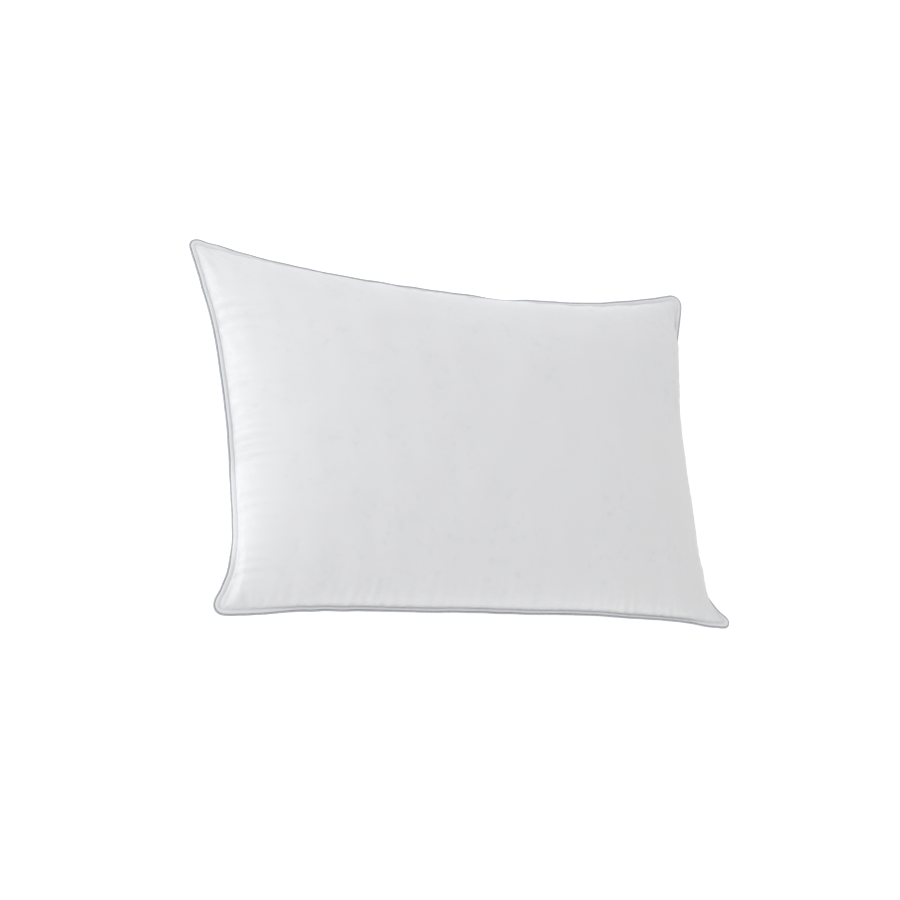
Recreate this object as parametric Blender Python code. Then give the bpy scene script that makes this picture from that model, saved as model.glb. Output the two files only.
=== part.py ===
"""Bed pillow, queen size, lying on its back panel.

Two ticking panels are folded in at their edges and sewn together over the flange of a corded piping.
A thread row on each side holds the flat border, and the chamber between the panels holds the filling.
+X runs along the length, +Y along the width and +Z up through the loft. The origin is on the
surface that the pillow lies on, under the middle of its outline. All sizes are in metres.
"""

import math

import bmesh
import bpy
from mathutils import Vector

# Overall size, filled, to the outside of the piping.
LENGTH = 0.744
WIDTH = 0.496
SEAM_HEIGHT = 0.064
FRONT_RISE = 0.100
BACK_SAG = 0.088

# How far the filling draws each edge in, and how the corners are rounded. The short edges are drawn
# in most a little nearer to the front edge: END_LEAN is that shift over half the edge.
DRAW_FRONT_EDGE = 0.010
DRAW_REAR_EDGE = 0.035
DRAW_LEFT_EDGE = 0.034
DRAW_RIGHT_EDGE = 0.040
END_LEAN = 0.15
EDGE_BOW = 2.5
CORNER_REACH = 0.026

# Crown of the panels: a higher FLATNESS makes a broader top, a higher STEEPNESS a fuller edge.
FLATNESS = 2.3
STEEPNESS = 1.9

# Cloth, border and piping.
TICKING = 0.0006
BORDER = 0.008
ALLOWANCE = 0.009
PIPING_DIAMETER = 0.0028
PIPING_CLOTH = 0.00035
CLEARANCE = 0.0003

# Thread rows, the closed filling opening and the care label.
THREAD_DIAMETER = 0.0005
STITCH_INSET = 0.0055
CLOSING_INSET = 0.0022
CLOSING_LENGTH = 0.180
LABEL_CLOTH = 0.00025
LABEL_WIDTH = 0.034
LABEL_LENGTH = 0.052
LABEL_FROM_MIDDLE = 0.20

# Points along the outline and rings up the crown.
LONG_EDGE_POINTS = 14
SHORT_EDGE_POINTS = 10
CORNER_POINTS = 4
CROWN_RINGS = 8
PIPING_SIDES = 8
THREAD_SIDES = 4

# Sizes that follow.
PIPING_RADIUS = PIPING_DIAMETER / 2
PIPING_MIDLINE = PIPING_RADIUS - PIPING_CLOTH / 2
PIPING_OFFSET = PIPING_RADIUS + LABEL_CLOTH + 2 * CLEARANCE
PIPING_REACH = PIPING_OFFSET + PIPING_RADIUS
FLANGE_MIDLINE = CLEARANCE / 2 + PIPING_CLOTH / 2
FLANGE_FACE = CLEARANCE / 2 + PIPING_CLOTH
FRONT_FOLD = FLANGE_FACE + CLEARANCE
BACK_FOLD = FLANGE_FACE + LABEL_CLOTH + 2 * CLEARANCE
FOLD_HEIGHT = 2 * TICKING + CLEARANCE


def clear_scene():
    """Removes every object of the scene that the script starts in."""
    for old in list(bpy.data.objects):
        bpy.data.objects.remove(old, do_unlink=True)


def cloth_material(name, colour, roughness):
    """A plain Principled finish."""
    material = bpy.data.materials.new(name)
    material.use_nodes = True
    shader = material.node_tree.nodes["Principled BSDF"]
    shader.inputs["Base Color"].default_value = (*colour, 1.0)
    shader.inputs["Roughness"].default_value = roughness
    shader.inputs["Metallic"].default_value = 0.0
    material.diffuse_color = (*colour, 1.0)
    return material


def edge_point(side, along):
    """A point of the drawn-in outline with sharp corners. side counts round from the front edge, and
    along runs from -1 to 1 anticlockwise. It returns the place and the unit-square coordinates."""
    lean = END_LEAN * (1 - along * along) * (0, 1, 0, -1)[side]
    bow = 1 - abs(along + lean) ** EDGE_BOW
    half_length, half_width = LENGTH / 2, WIDTH / 2
    if side == 0:
        return Vector((along * half_length, -half_width + DRAW_FRONT_EDGE * bow)), (along, -1)
    if side == 1:
        return Vector((half_length - DRAW_RIGHT_EDGE * bow, along * half_width)), (1, along)
    if side == 2:
        return Vector((-along * half_length, half_width - DRAW_REAR_EDGE * bow)), (-along, 1)
    return Vector((-half_length + DRAW_LEFT_EDGE * bow, -along * half_width)), (-1, -along)


def rounded_corner(side):
    """Points of the rounded corner at the end of a side, on a curve that starts along both edges."""
    this_half = (LENGTH if side % 2 == 0 else WIDTH) / 2
    next_half = (WIDTH if side % 2 == 0 else LENGTH) / 2
    start, start_uv = edge_point(side, 1 - CORNER_REACH / this_half)
    tip, tip_uv = edge_point(side, 1)
    end, end_uv = edge_point((side + 1) % 4, -1 + CORNER_REACH / next_half)
    points = []
    for k in range(1, CORNER_POINTS + 1):
        share = k / (CORNER_POINTS + 1)
        place = start.lerp(tip, share).lerp(tip.lerp(end, share), share)
        if share <= 0.5:
            uv = Vector(start_uv).lerp(Vector(tip_uv), 2 * share)
        else:
            uv = Vector(tip_uv).lerp(Vector(end_uv), 2 * share - 1)
        points.append((place, tuple(uv)))
    return points


def outline():
    """The folded edge of the panels, anticlockwise: places, inward directions and square coordinates."""
    found = []
    for side in range(4):
        half = (LENGTH if side % 2 == 0 else WIDTH) / 2
        count = LONG_EDGE_POINTS if side % 2 == 0 else SHORT_EDGE_POINTS
        limit = 1 - CORNER_REACH / half
        for k in range(count + 1):
            # Closer together towards the corners, where the edge curves most.
            found.append(edge_point(side, limit * math.sin(math.pi * (k / count - 0.5))))
        found.extend(rounded_corner(side))
    places = [place for place, _ in found]
    low_x, high_x = min(p.x for p in places), max(p.x for p in places)
    low_y, high_y = min(p.y for p in places), max(p.y for p in places)
    stretch_x = (LENGTH - 2 * PIPING_REACH) / (high_x - low_x)
    stretch_y = (WIDTH - 2 * PIPING_REACH) / (high_y - low_y)
    places = [
        Vector(((p.x - (low_x + high_x) / 2) * stretch_x, (p.y - (low_y + high_y) / 2) * stretch_y))
        for p in places
    ]
    inward = []
    for k, place in enumerate(places):
        before, after = place - places[k - 1], places[(k + 1) % len(places)] - place
        run = before.normalized() + after.normalized()
        inward.append(Vector((-run.y, run.x)).normalized())
    return places, inward, [uv for _, uv in found]


PLACES, INWARD, SQUARE = outline()


def level_ring(inset, height):
    """A ring that follows the outline at a distance inside it, at one height over the seam plane."""
    return [
        Vector((*(place + way * inset), SEAM_HEIGHT + height))
        for place, way in zip(PLACES, INWARD)
    ]


def fullness(u, v):
    """Share of the full rise at a place of the unit square: 0 on its edge and 1 in its middle."""
    return ((1 - abs(u) ** FLATNESS) * (1 - abs(v) ** FLATNESS)) ** (1 / STEEPNESS)


def crown(side, fold, rise):
    """The crown of a panel, as rings through the middle of its cloth, and the point that closes it.
    side is 1 for the front panel and -1 for the back one."""
    base = fold + FOLD_HEIGHT - TICKING / 2
    start = level_ring(BORDER, 0)
    rings = []
    for ring in range(1, CROWN_RINGS + 1):
        out = 1 - (ring / CROWN_RINGS) ** 1.7
        heights = [
            SEAM_HEIGHT + side * (base + (rise - base - TICKING / 2) * fullness(u * out, v * out))
            for u, v in SQUARE
        ]
        rings.append(
            [
                Vector((place.x * out, place.y * out, height))
                for place, height in zip(start, heights)
            ]
        )
    return rings[:-1], rings[-1][0]


def join_rows(mesh, first, second):
    """Adds the faces between two rows of points."""
    for k, _ in enumerate(first):
        mesh.faces.new((first[k - 1], first[k], second[k]))
        mesh.faces.new((first[k - 1], second[k], second[k - 1]))


def add_rings(mesh, rings, closed_across=False):
    """Adds rings of points and the faces between each and the next, and returns the rows."""
    rows = [[mesh.verts.new(point) for point in ring] for ring in rings]
    for first, second in zip(rows, rows[1:]):
        join_rows(mesh, first, second)
    if closed_across:
        join_rows(mesh, rows[-1], rows[0])
    return rows


def close_with_point(mesh, ring, point):
    """Closes a ring with a fan of triangles to one point, which it returns."""
    tip = mesh.verts.new(point)
    for k, _ in enumerate(ring):
        mesh.faces.new((ring[k - 1], ring[k], tip))
    return tip


def crown_layer(side, fold, rise, distance):
    """The rings and the closing point of a crown, moved out of the pillow by a distance. They move
    straight up or down, and further where the crown is steep, so that two layers never cross. The
    weight presses them flat where they would pass below the ground."""
    rings, top = crown(side, fold, rise)
    border = level_ring(BORDER, side * (fold + FOLD_HEIGHT - TICKING / 2))
    ground = TICKING / 2 - distance
    moved = []
    for before, ring, after in zip([border] + rings, rings, rings[1:] + [[top] * len(border)]):
        row = []
        for k, place in enumerate(ring):
            around = (before[k], after[k], ring[k - 1], ring[(k + 1) % len(ring)])
            slope = max(abs(near.z - place.z) / (near.xy - place.xy).length for near in around)
            steepness = min(math.sqrt(1 + slope * slope), 3)
            height = place.z + side * distance * steepness
            row.append(Vector((place.x, place.y, max(height, ground))))
        moved.append(row)
    return moved, Vector((top.x, top.y, max(top.z + side * distance, ground)))


def finish(name, mesh, material, thickness=0.0):
    """Turns a bmesh into a named object, which a Solidify modifier thickens where it is a strip."""
    bmesh.ops.recalc_face_normals(mesh, faces=mesh.faces)
    if not thickness and mesh.calc_volume(signed=True) < 0:
        bmesh.ops.reverse_faces(mesh, faces=mesh.faces)
    data = bpy.data.meshes.new(name)
    mesh.to_mesh(data)
    mesh.free()
    made = bpy.data.objects.new(name, data)
    bpy.context.scene.collection.objects.link(made)
    data.materials.append(material)
    data.shade_smooth()
    data.set_sharp_from_angle(angle=math.radians(50))
    if thickness:
        cloth = made.modifiers.new("Cloth thickness", "SOLIDIFY")
        cloth.thickness = thickness
        cloth.offset = 0.0
    return made


def panel(name, side, fold, rise, material):
    """A ticking panel: the allowance turned inside, the folded edge, the flat border and the crown."""
    outside, outside_top = crown_layer(side, fold, rise, TICKING / 2)
    inside, inside_top = crown_layer(side, fold, rise, -TICKING / 2)
    far = fold + FOLD_HEIGHT
    profile = (
        (BORDER, far - TICKING),
        (1.3 * TICKING, far - TICKING),
        (1.3 * TICKING, fold + TICKING),
        (ALLOWANCE, fold + TICKING),
        (ALLOWANCE, fold),
        (0.8 * TICKING, fold),
        (0.0, (fold + far) / 2),
        (0.8 * TICKING, far),
        (BORDER, far),
    )
    mesh = bmesh.new()
    edge_rows = add_rings(mesh, [level_ring(inset, side * height) for inset, height in profile])
    # Both faces of the crown run from its middle out, so that their triangles match.
    inside_rows = add_rings(mesh, inside[::-1])
    outside_rows = add_rings(mesh, outside[::-1])
    join_rows(mesh, inside_rows[-1], edge_rows[0])
    join_rows(mesh, outside_rows[-1], edge_rows[-1])
    close_with_point(mesh, inside_rows[0], inside_top)
    close_with_point(mesh, outside_rows[0], outside_top)
    return finish(name, mesh, material)


def piping_cover(material):
    """The strip round the cord, whose two edges lie together as a flange between the panels."""
    rows = [level_ring(ALLOWANCE, FLANGE_MIDLINE)]
    mouth = math.asin(FLANGE_MIDLINE / PIPING_MIDLINE)
    for k in range(PIPING_SIDES + 1):
        turn = mouth + (2 * math.pi - 2 * mouth) * k / PIPING_SIDES
        inset = PIPING_MIDLINE * math.cos(turn) - PIPING_OFFSET
        rows.append(level_ring(inset, PIPING_MIDLINE * math.sin(turn)))
    rows.append(level_ring(ALLOWANCE, -FLANGE_MIDLINE))
    mesh = bmesh.new()
    add_rings(mesh, rows)
    return finish("piping_cover", mesh, material, PIPING_CLOTH)


def ring_cord(name, inset, height, radius, sides, material):
    """A closed cord or thread that runs right round the pillow."""
    rows = []
    for k in range(sides):
        turn = 2 * math.pi * (k + 0.5) / sides
        rows.append(level_ring(inset + radius * math.cos(turn), height + radius * math.sin(turn)))
    mesh = bmesh.new()
    add_rings(mesh, rows, closed_across=True)
    return finish(name, mesh, material)


def filling(material):
    """The down and feather filling, which takes up the chamber inside the allowances."""
    distance = -TICKING / 2 - CLEARANCE
    front, front_top = crown_layer(1, FRONT_FOLD, FRONT_RISE, distance)
    back, back_top = crown_layer(-1, BACK_FOLD, BACK_SAG, distance)
    mesh = bmesh.new()
    # Each side runs from its middle out, as the inner face of its panel does.
    back_rows = add_rings(mesh, back[::-1])
    front_rows = add_rings(mesh, front[::-1])
    join_rows(mesh, back_rows[-1], front_rows[-1])
    close_with_point(mesh, back_rows[0], back_top)
    close_with_point(mesh, front_rows[0], front_top)
    return finish("down_feather_fill", mesh, material)


def care_label(material):
    """The tape caught in the seam of the rear edge, under the flange, which hangs behind the pillow."""
    on_rear = [k for k, (_, v) in enumerate(SQUARE) if v == 1 and SQUARE[k - 1][1] == 1]
    middles = [(PLACES[k - 1] + PLACES[k]) / 2 for k in on_rear]
    near = min(range(len(middles)), key=lambda n: abs(middles[n].x - LABEL_FROM_MIDDLE))
    run = (PLACES[on_rear[near]] - PLACES[on_rear[near] - 1]).normalized()
    way = Vector((-run.y, run.x))
    seam = -(FLANGE_FACE + CLEARANCE + LABEL_CLOTH / 2)
    fold = -(CLEARANCE + LABEL_CLOTH / 2)
    profile = (
        (ALLOWANCE - 0.001, seam),
        (fold + 0.0002, seam),
        (fold, seam - 0.0002),
        (fold, seam - 0.30 * LABEL_LENGTH),
        (fold + 0.03 * LABEL_LENGTH, seam - 0.65 * LABEL_LENGTH),
        (fold + 0.10 * LABEL_LENGTH, seam - LABEL_LENGTH),
    )
    mesh = bmesh.new()
    rows = []
    for inset, height in profile:
        middle = middles[near] + way * inset
        ends = [middle + run * (end * LABEL_WIDTH / 2) for end in (-1, 1)]
        rows.append([mesh.verts.new((*end, SEAM_HEIGHT + height)) for end in ends])
    for upper, lower in zip(rows, rows[1:]):
        mesh.faces.new((*upper, *reversed(lower)))
    return finish("care_label", mesh, material, LABEL_CLOTH)


def closing_thread(material):
    """The edge row that shuts the filling opening, along the middle of the right-hand edge."""
    height = SEAM_HEIGHT + FRONT_FOLD + FOLD_HEIGHT + CLEARANCE + THREAD_DIAMETER / 2
    line = [
        Vector((*(place + way * CLOSING_INSET), height))
        for place, way, (u, _) in zip(PLACES, INWARD, SQUARE)
        if u == 1 and abs(place.y) <= CLOSING_LENGTH / 2
    ]
    shape = bpy.data.curves.new("closing_thread", "CURVE")
    shape.dimensions = "3D"
    shape.bevel_depth = THREAD_DIAMETER / 2
    shape.bevel_resolution = 1
    shape.use_fill_caps = True
    spline = shape.splines.new("POLY")
    spline.points.add(len(line) - 1)
    for point, place in zip(spline.points, line):
        point.co = (*place, 1)
    shape.materials.append(material)
    made = bpy.data.objects.new("closing_thread", shape)
    bpy.context.scene.collection.objects.link(made)
    return made


def main():
    clear_scene()
    ticking = cloth_material("ticking", (0.86, 0.865, 0.88), 0.75)
    piping = cloth_material("piping", (0.52, 0.55, 0.58), 0.6)
    thread = cloth_material("thread", (0.88, 0.88, 0.89), 0.5)
    cord = cloth_material("cord", (0.80, 0.78, 0.72), 0.9)
    label = cloth_material("label", (0.93, 0.93, 0.93), 0.5)
    fill = cloth_material("down_feather", (0.90, 0.89, 0.85), 1.0)
    panel("front_panel", 1, FRONT_FOLD, FRONT_RISE, ticking)
    panel("back_panel", -1, BACK_FOLD, BACK_SAG, ticking)
    piping_cover(piping)
    cord_radius = PIPING_RADIUS - PIPING_CLOTH - CLEARANCE
    ring_cord("piping_cord", -PIPING_OFFSET, 0, cord_radius, 6, cord)
    row_height = FOLD_HEIGHT + CLEARANCE + THREAD_DIAMETER / 2
    radius = THREAD_DIAMETER / 2
    ring_cord("needle_thread", STITCH_INSET, FRONT_FOLD + row_height, radius, THREAD_SIDES, thread)
    ring_cord("bobbin_thread", STITCH_INSET, -BACK_FOLD - row_height, radius, THREAD_SIDES, thread)
    closing_thread(thread)
    care_label(label)
    filling(fill)


main()
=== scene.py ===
"""Bed pillow, finished: downproof ticking panels, corded piping, topstitching, filling and label.

Laid out as an add-on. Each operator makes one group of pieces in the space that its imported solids
hold, and main() calls them in order. All sizes are in metres.
"""

import math

import bmesh
import bpy
import numpy as np
from bpy.props import FloatProperty, FloatVectorProperty, IntProperty, PointerProperty
from mathutils import Matrix, Vector


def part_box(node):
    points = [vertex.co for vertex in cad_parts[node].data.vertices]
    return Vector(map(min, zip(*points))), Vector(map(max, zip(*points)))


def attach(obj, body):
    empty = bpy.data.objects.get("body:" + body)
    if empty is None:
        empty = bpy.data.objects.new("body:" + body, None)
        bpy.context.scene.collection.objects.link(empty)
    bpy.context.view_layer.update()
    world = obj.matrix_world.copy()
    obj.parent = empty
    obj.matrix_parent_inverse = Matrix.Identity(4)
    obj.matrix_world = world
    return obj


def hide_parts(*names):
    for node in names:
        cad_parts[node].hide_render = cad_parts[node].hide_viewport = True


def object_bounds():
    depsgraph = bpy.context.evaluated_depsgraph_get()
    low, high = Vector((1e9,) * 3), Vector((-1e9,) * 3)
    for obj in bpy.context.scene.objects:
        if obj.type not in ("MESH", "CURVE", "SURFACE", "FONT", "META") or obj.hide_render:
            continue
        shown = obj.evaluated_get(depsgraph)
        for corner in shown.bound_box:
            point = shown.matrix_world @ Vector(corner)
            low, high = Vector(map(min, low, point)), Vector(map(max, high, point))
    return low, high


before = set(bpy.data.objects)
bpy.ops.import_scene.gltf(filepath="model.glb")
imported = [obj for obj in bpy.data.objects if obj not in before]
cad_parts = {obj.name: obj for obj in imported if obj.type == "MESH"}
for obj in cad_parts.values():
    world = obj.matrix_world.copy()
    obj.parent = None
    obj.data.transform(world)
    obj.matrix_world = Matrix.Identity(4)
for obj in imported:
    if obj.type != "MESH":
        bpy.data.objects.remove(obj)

bl_info = {
    "name": "Bed Pillow",
    "version": (1, 0, 0),
    "blender": (4, 5, 0),
    "location": "3D View > Sidebar > Pillow",
    "description": "Makes a down and feather bed pillow with a piped, topstitched edge",
    "category": "Add Mesh",
}

CAD_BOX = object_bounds()
BORDER_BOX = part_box("front_panel")
PIPING_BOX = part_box("piping_cover")
SEAM_HEIGHT = (PIPING_BOX[0][2] + PIPING_BOX[1][2]) / 2
PIPING_RADIUS = (PIPING_BOX[1][2] - PIPING_BOX[0][2]) / 2
FOLD_LENGTH = BORDER_BOX[1][0] - BORDER_BOX[0][0]
FOLD_WIDTH = BORDER_BOX[1][1] - BORDER_BOX[0][1]
BODY = "root"

# The sides of the pillow, with the way out of each.
FRONT, RIGHT, REAR, LEFT = range(4)
OUT = np.array(((0, -1), (1, 0), (0, 1), (-1, 0)))

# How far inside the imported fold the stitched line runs, at the ends and along the sides.
LINE_INSET_ENDS, LINE_INSET_SIDES = 0.002, 0.0025
# Half the thickness of the seam's plies, where a panel leaves the stitched line.
SEAM_PLIES = 0.0006
# The lowest place of the back panel, and how softly the weight presses it flat above that.
REST_HEIGHT, REST_SOFTNESS = 0.0002, 0.0038
# The border from the stitched groove out over the puffed fold and back under: distances out of the
# stitch row and heights off the middle of the seam.
BORDER_PROFILE = (
    (0.0006, 0.00062),
    (0.0014, 0.00100),
    (0.0024, 0.00150),
    (0.0035, 0.00175),
    (0.0045, 0.00162),
    (0.0052, 0.00122),
    (0.0055, 0.00085),
    (0.0053, 0.00055),
    (0.0046, 0.00042),
    (0.0030, 0.00040),
    (0.0006, 0.00040),
)
# Where the weight has turned the border up or down: side, axis along it, from, to, turn in radians.
BORDER_TURNS = (
    (FRONT, 0, -0.30, 0.34, 0.50),
    (LEFT, 1, -0.19, -0.05, -0.75),
    (REAR, 0, 0.03, 0.12, -0.50),
)
# How the ticking bends and stretches while it settles, held at its seam.
CLOTH_RULES = {
    "quality": 5,
    "mass": 0.15,
    "air_damping": 1.0,
    "tension_stiffness": 60.0,
    "compression_stiffness": 20.0,
    "shear_stiffness": 8.0,
    "bending_stiffness": 0.3,
    "tension_damping": 2.0,
    "compression_damping": 2.0,
    "shear_damping": 1.0,
    "bending_damping": 0.6,
    "use_pressure": True,
    "vertex_group_mass": "seam",
    "pin_stiffness": 1.0,
}

# What the operators hand on to each other: the sewn edge and the filled panels.
made = {}


# ---------------------------------------------------------------- sizes and finishes


class PillowSizes(bpy.types.PropertyGroup):
    """Sizes of the pillow that a maker would change."""

    cut_length: FloatProperty(
        name="Cut Length", description="Flat case length, over the piping", default=0.762, unit="LENGTH"
    )
    cut_width: FloatProperty(
        name="Cut Width", description="Flat case width, over the piping", default=0.508, unit="LENGTH"
    )
    draw_in: FloatVectorProperty(
        name="Draw In",
        description="How far the filling draws in each edge: front, right, rear, left",
        size=4,
        default=(0.0115, 0.0480, 0.0365, 0.0375),
        unit="LENGTH",
    )
    edge_bow: FloatVectorProperty(
        name="Edge Bow",
        description="How far towards each corner its short edge stays drawn in: corners as in Corner Reach",
        size=4,
        default=(6.0, 2.2, 2.6, 4.0),
    )
    corner_reach: FloatVectorProperty(
        name="Corner Reach",
        description="Where each corner's rounding starts: front right, rear right, rear left, front left",
        size=4,
        default=(0.007, 0.016, 0.010, 0.016),
        unit="LENGTH",
    )
    stitch_inset: FloatProperty(
        name="Stitch Inset", description="Topstitch row to the folded edge", default=0.0055, unit="LENGTH"
    )
    stitch_pitch: FloatProperty(
        name="Stitch Pitch", description="Distance from stitch to stitch", default=0.0031, unit="LENGTH"
    )
    thread: FloatProperty(
        name="Thread", description="Thickness of the sewing thread", default=0.00055, unit="LENGTH"
    )
    cord: FloatProperty(
        name="Cord", description="Thickness of the piping over its cord", default=0.0022, unit="LENGTH"
    )
    overhang: FloatVectorProperty(
        name="Overhang",
        description="How far the filled cloth leans out over each seam: front, right, rear, left",
        size=4,
        default=(0.008, 0.013, 0.002, 0.003),
        unit="LENGTH",
    )
    loft: FloatProperty(
        name="Loft", description="Rise of the front panel before it is filled", default=0.095, unit="LENGTH"
    )
    sag: FloatProperty(
        name="Sag", description="Fall of the back panel before it is filled", default=0.088, unit="LENGTH"
    )
    gather_ends: FloatProperty(
        name="End Gather", description="Share of spare cloth eased into the short seams", default=0.01
    )
    calm: FloatProperty(
        name="Calm", description="Share of the settled shape that the filling keeps", default=0.4
    )
    creases: FloatProperty(
        name="Creases", description="Share of the settled folds kept by the seam", default=0.5
    )
    crease_reach: FloatProperty(
        name="Crease Reach", description="How far the folds run from the seam", default=0.024, unit="LENGTH"
    )
    pucker: FloatVectorProperty(
        name="Pucker",
        description="Height of the gathers along each seam: front, right, rear, left",
        size=4,
        default=(0.0016, 0.0008, 0.0008, 0.0036),
        unit="LENGTH",
    )
    pucker_reach: FloatVectorProperty(
        name="Pucker Reach",
        description="How far the gathers run from each seam: front, right, rear, left",
        size=4,
        default=(0.009, 0.010, 0.010, 0.012),
        unit="LENGTH",
    )
    lumps: FloatProperty(
        name="Lumps", description="Height of the soft swells of the filling", default=0.0003, unit="LENGTH"
    )
    pressure: FloatProperty(name="Pressure", description="Push of the filling on the cloth", default=15.0)
    frames: IntProperty(name="Settling Frames", description="Steps of the cloth simulation", default=34)
    cells: IntProperty(name="Cells", description="Squares of cloth along the length", default=140)


class PillowFinish(bpy.types.PropertyGroup):
    """Colours of the pillow's cloths and threads."""

    ticking: FloatVectorProperty(
        name="Ticking", description="Downproof cotton", subtype="COLOR", default=(0.80, 0.80, 0.81)
    )
    piping: FloatVectorProperty(
        name="Piping", description="Bias strip over the cord", subtype="COLOR", default=(0.50, 0.53, 0.57)
    )
    thread: FloatVectorProperty(
        name="Thread", description="Sewing thread", subtype="COLOR", default=(0.82, 0.82, 0.83)
    )
    cord: FloatVectorProperty(
        name="Cord", description="Filler cord", subtype="COLOR", default=(0.80, 0.78, 0.72)
    )
    down: FloatVectorProperty(
        name="Down", description="Down and feathers", subtype="COLOR", default=(0.90, 0.89, 0.85)
    )
    label: FloatVectorProperty(
        name="Label", description="Satin tape", subtype="COLOR", default=(0.85, 0.85, 0.85)
    )


# ---------------------------------------------------------------- shader helpers


class Value:
    """A shader socket, or a number, that Python's operators can work on."""

    def __init__(self, shade, socket):
        self.shade, self.socket = shade, socket

    def _math(self, operation, *values, clamp=False):
        return self.shade.node("ShaderNodeMath", {"operation": operation, "use_clamp": clamp}, *values)

    def __add__(self, other):
        return self._math("ADD", self, other)

    def __sub__(self, other):
        return self._math("SUBTRACT", self, other)

    def __rsub__(self, other):
        return self._math("SUBTRACT", other, self)

    def __mul__(self, other):
        return self._math("MULTIPLY", self, other)

    def __truediv__(self, other):
        return self._math("DIVIDE", self, other)

    def __rtruediv__(self, other):
        return self._math("DIVIDE", other, self)

    def __mod__(self, other):
        return self._math("FLOORED_MODULO", self, other)

    def __abs__(self):
        return self._math("ABSOLUTE", self)

    __radd__, __rmul__ = __add__, __mul__

    def sin(self):
        return self._math("SINE", self)

    def floor(self):
        return self._math("FLOOR", self)

    def clamped(self):
        return self._math("ADD", self, 0.0, clamp=True)

    def ramp(self, low, high, to_low=0.0, to_high=1.0):
        """A smooth step from to_low at low to to_high at high."""
        settings = {"interpolation_type": "SMOOTHSTEP"}
        return self.shade.node("ShaderNodeMapRange", settings, self, low, high, to_low, to_high)


class Shade:
    """Builds one material's nodes."""

    def __init__(self, name, colour, roughness, **constants):
        self.material = bpy.data.materials.new(name)
        self.material.use_nodes = True
        self.material.diffuse_color = (*colour, 1.0)
        self.nodes, self.links = self.material.node_tree.nodes, self.material.node_tree.links
        self.shader = self.nodes["Principled BSDF"]
        self.feed("Base Color", (*colour, 1.0))
        self.feed("Roughness", roughness)
        for socket, value in constants.items():
            self.feed(socket.replace("_", " "), value)

    def node(self, kind, settings, *values, output=0, **named):
        """Adds any node: its settings first, then the values or links of its sockets."""
        node = self.nodes.new(kind)
        for key, setting in settings.items():
            setattr(node, key, setting)
        for key, value in list(enumerate(values)) + list(named.items()):
            key = key.replace("_", " ") if isinstance(key, str) else key
            self._join(node.inputs[key], value)
        return Value(self, node.outputs[output])

    def _join(self, socket, value):
        if isinstance(value, Value):
            self.links.new(value.socket, socket)
        else:
            socket.default_value = value

    def feed(self, socket, value):
        """Sets or links one of the Principled shader's own sockets."""
        self._join(self.shader.inputs[socket], value)

    def place(self):
        return self.node("ShaderNodeTexCoord", {}, output="Object")

    def across(self, name="cloth"):
        """The two cloth coordinates, in metres."""
        both = self.node("ShaderNodeUVMap", {"uv_map": name})
        split = self.nodes.new("ShaderNodeSeparateXYZ")
        self.links.new(both.socket, split.inputs[0])
        return Value(self, split.outputs[0]), Value(self, split.outputs[1])

    def noise(self, vector, scale, detail=2.0, rough=0.5):
        named = {"Vector": vector, "Scale": scale, "Detail": detail, "Roughness": rough}
        return self.node("ShaderNodeTexNoise", {}, **named)

    def mix(self, share, first, second):
        """A colour between two others."""
        node = self.nodes.new("ShaderNodeMix")
        node.data_type = "RGBA"
        self._join(node.inputs["Factor"], share)
        for key, colour in (("A", first), ("B", second)):
            socket = next(s for s in node.inputs if s.name == key and s.type == "RGBA")
            self._join(socket, (*colour, 1.0) if isinstance(colour, tuple) else colour)
        return Value(self, next(s for s in node.outputs if s.type == "RGBA"))

    def bump(self, height, distance, strength=1.0, onto=None):
        named = {"Height": height, "Distance": distance, "Strength": strength}
        if onto is not None:
            named["Normal"] = onto
        return self.node("ShaderNodeBump", {}, **named)


def toned(colour, share):
    """The colour made darker or lighter."""
    return tuple(min(part * share, 1.0) for part in colour)


def plain_weave(u, v, pitch):
    """Height of a plain weave from 0 to 1: warp and weft pass over each other in turn."""
    warp, weft = u / pitch, v / pitch
    turn = (warp.floor() + weft.floor()) % 2.0
    across = abs((warp * math.pi).sin())
    along = abs((weft * math.pi).sin())
    return turn * across * (0.6 + 0.4 * along) + (1 - turn) * along * (0.6 + 0.4 * across)


def ticking_material(colour):
    shade = Shade("ticking", colour, 0.72, Sheen_Weight=0.25, Sheen_Roughness=0.45)
    place = shade.place()
    u, v = shade.across()
    slub = shade.noise(place, 260.0, 3.0, 0.6)
    # Faint grey-blue spots, in patches, are painted on the white cloth: down clusters showing through it,
    # and painted shade in the small dimples they leave.
    clusters = shade.noise(place, 78.0, 1.0, 0.5).ramp(0.55, 0.80)
    flecks = shade.noise(place, 34.0, 3.0, 0.55).ramp(0.50, 0.74)
    patches = shade.noise(place, 11.0, 1.0, 0.5).ramp(0.40, 0.60, 0.15, 1.0)
    down_spots_and_shade = (clusters + flecks * 0.5).clamped() * patches
    # Darker, bluer cloth where the spots are: part down showing through, part painted dimple shade.
    tone = shade.mix(down_spots_and_shade, colour, (colour[0] * 0.90, colour[1] * 0.91, colour[2] * 0.93))
    grain = (slub - 0.5) * 0.10
    tone = shade.mix((0.5 + grain).clamped(), tone, toned(colour, 1.02))
    shade.feed("Base Color", tone)
    shade.feed("Roughness", 0.66 + 0.14 * slub)
    weave = plain_weave(u, v, 0.00042) * (0.75 + 0.5 * slub)
    lumps = shade.noise(place, 22.0, 3.0, 0.5)
    coarse = shade.bump(lumps, 0.0004, 0.2)
    shade.feed("Normal", shade.bump(weave, 0.00009, 0.55, onto=coarse))
    return shade.material


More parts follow.
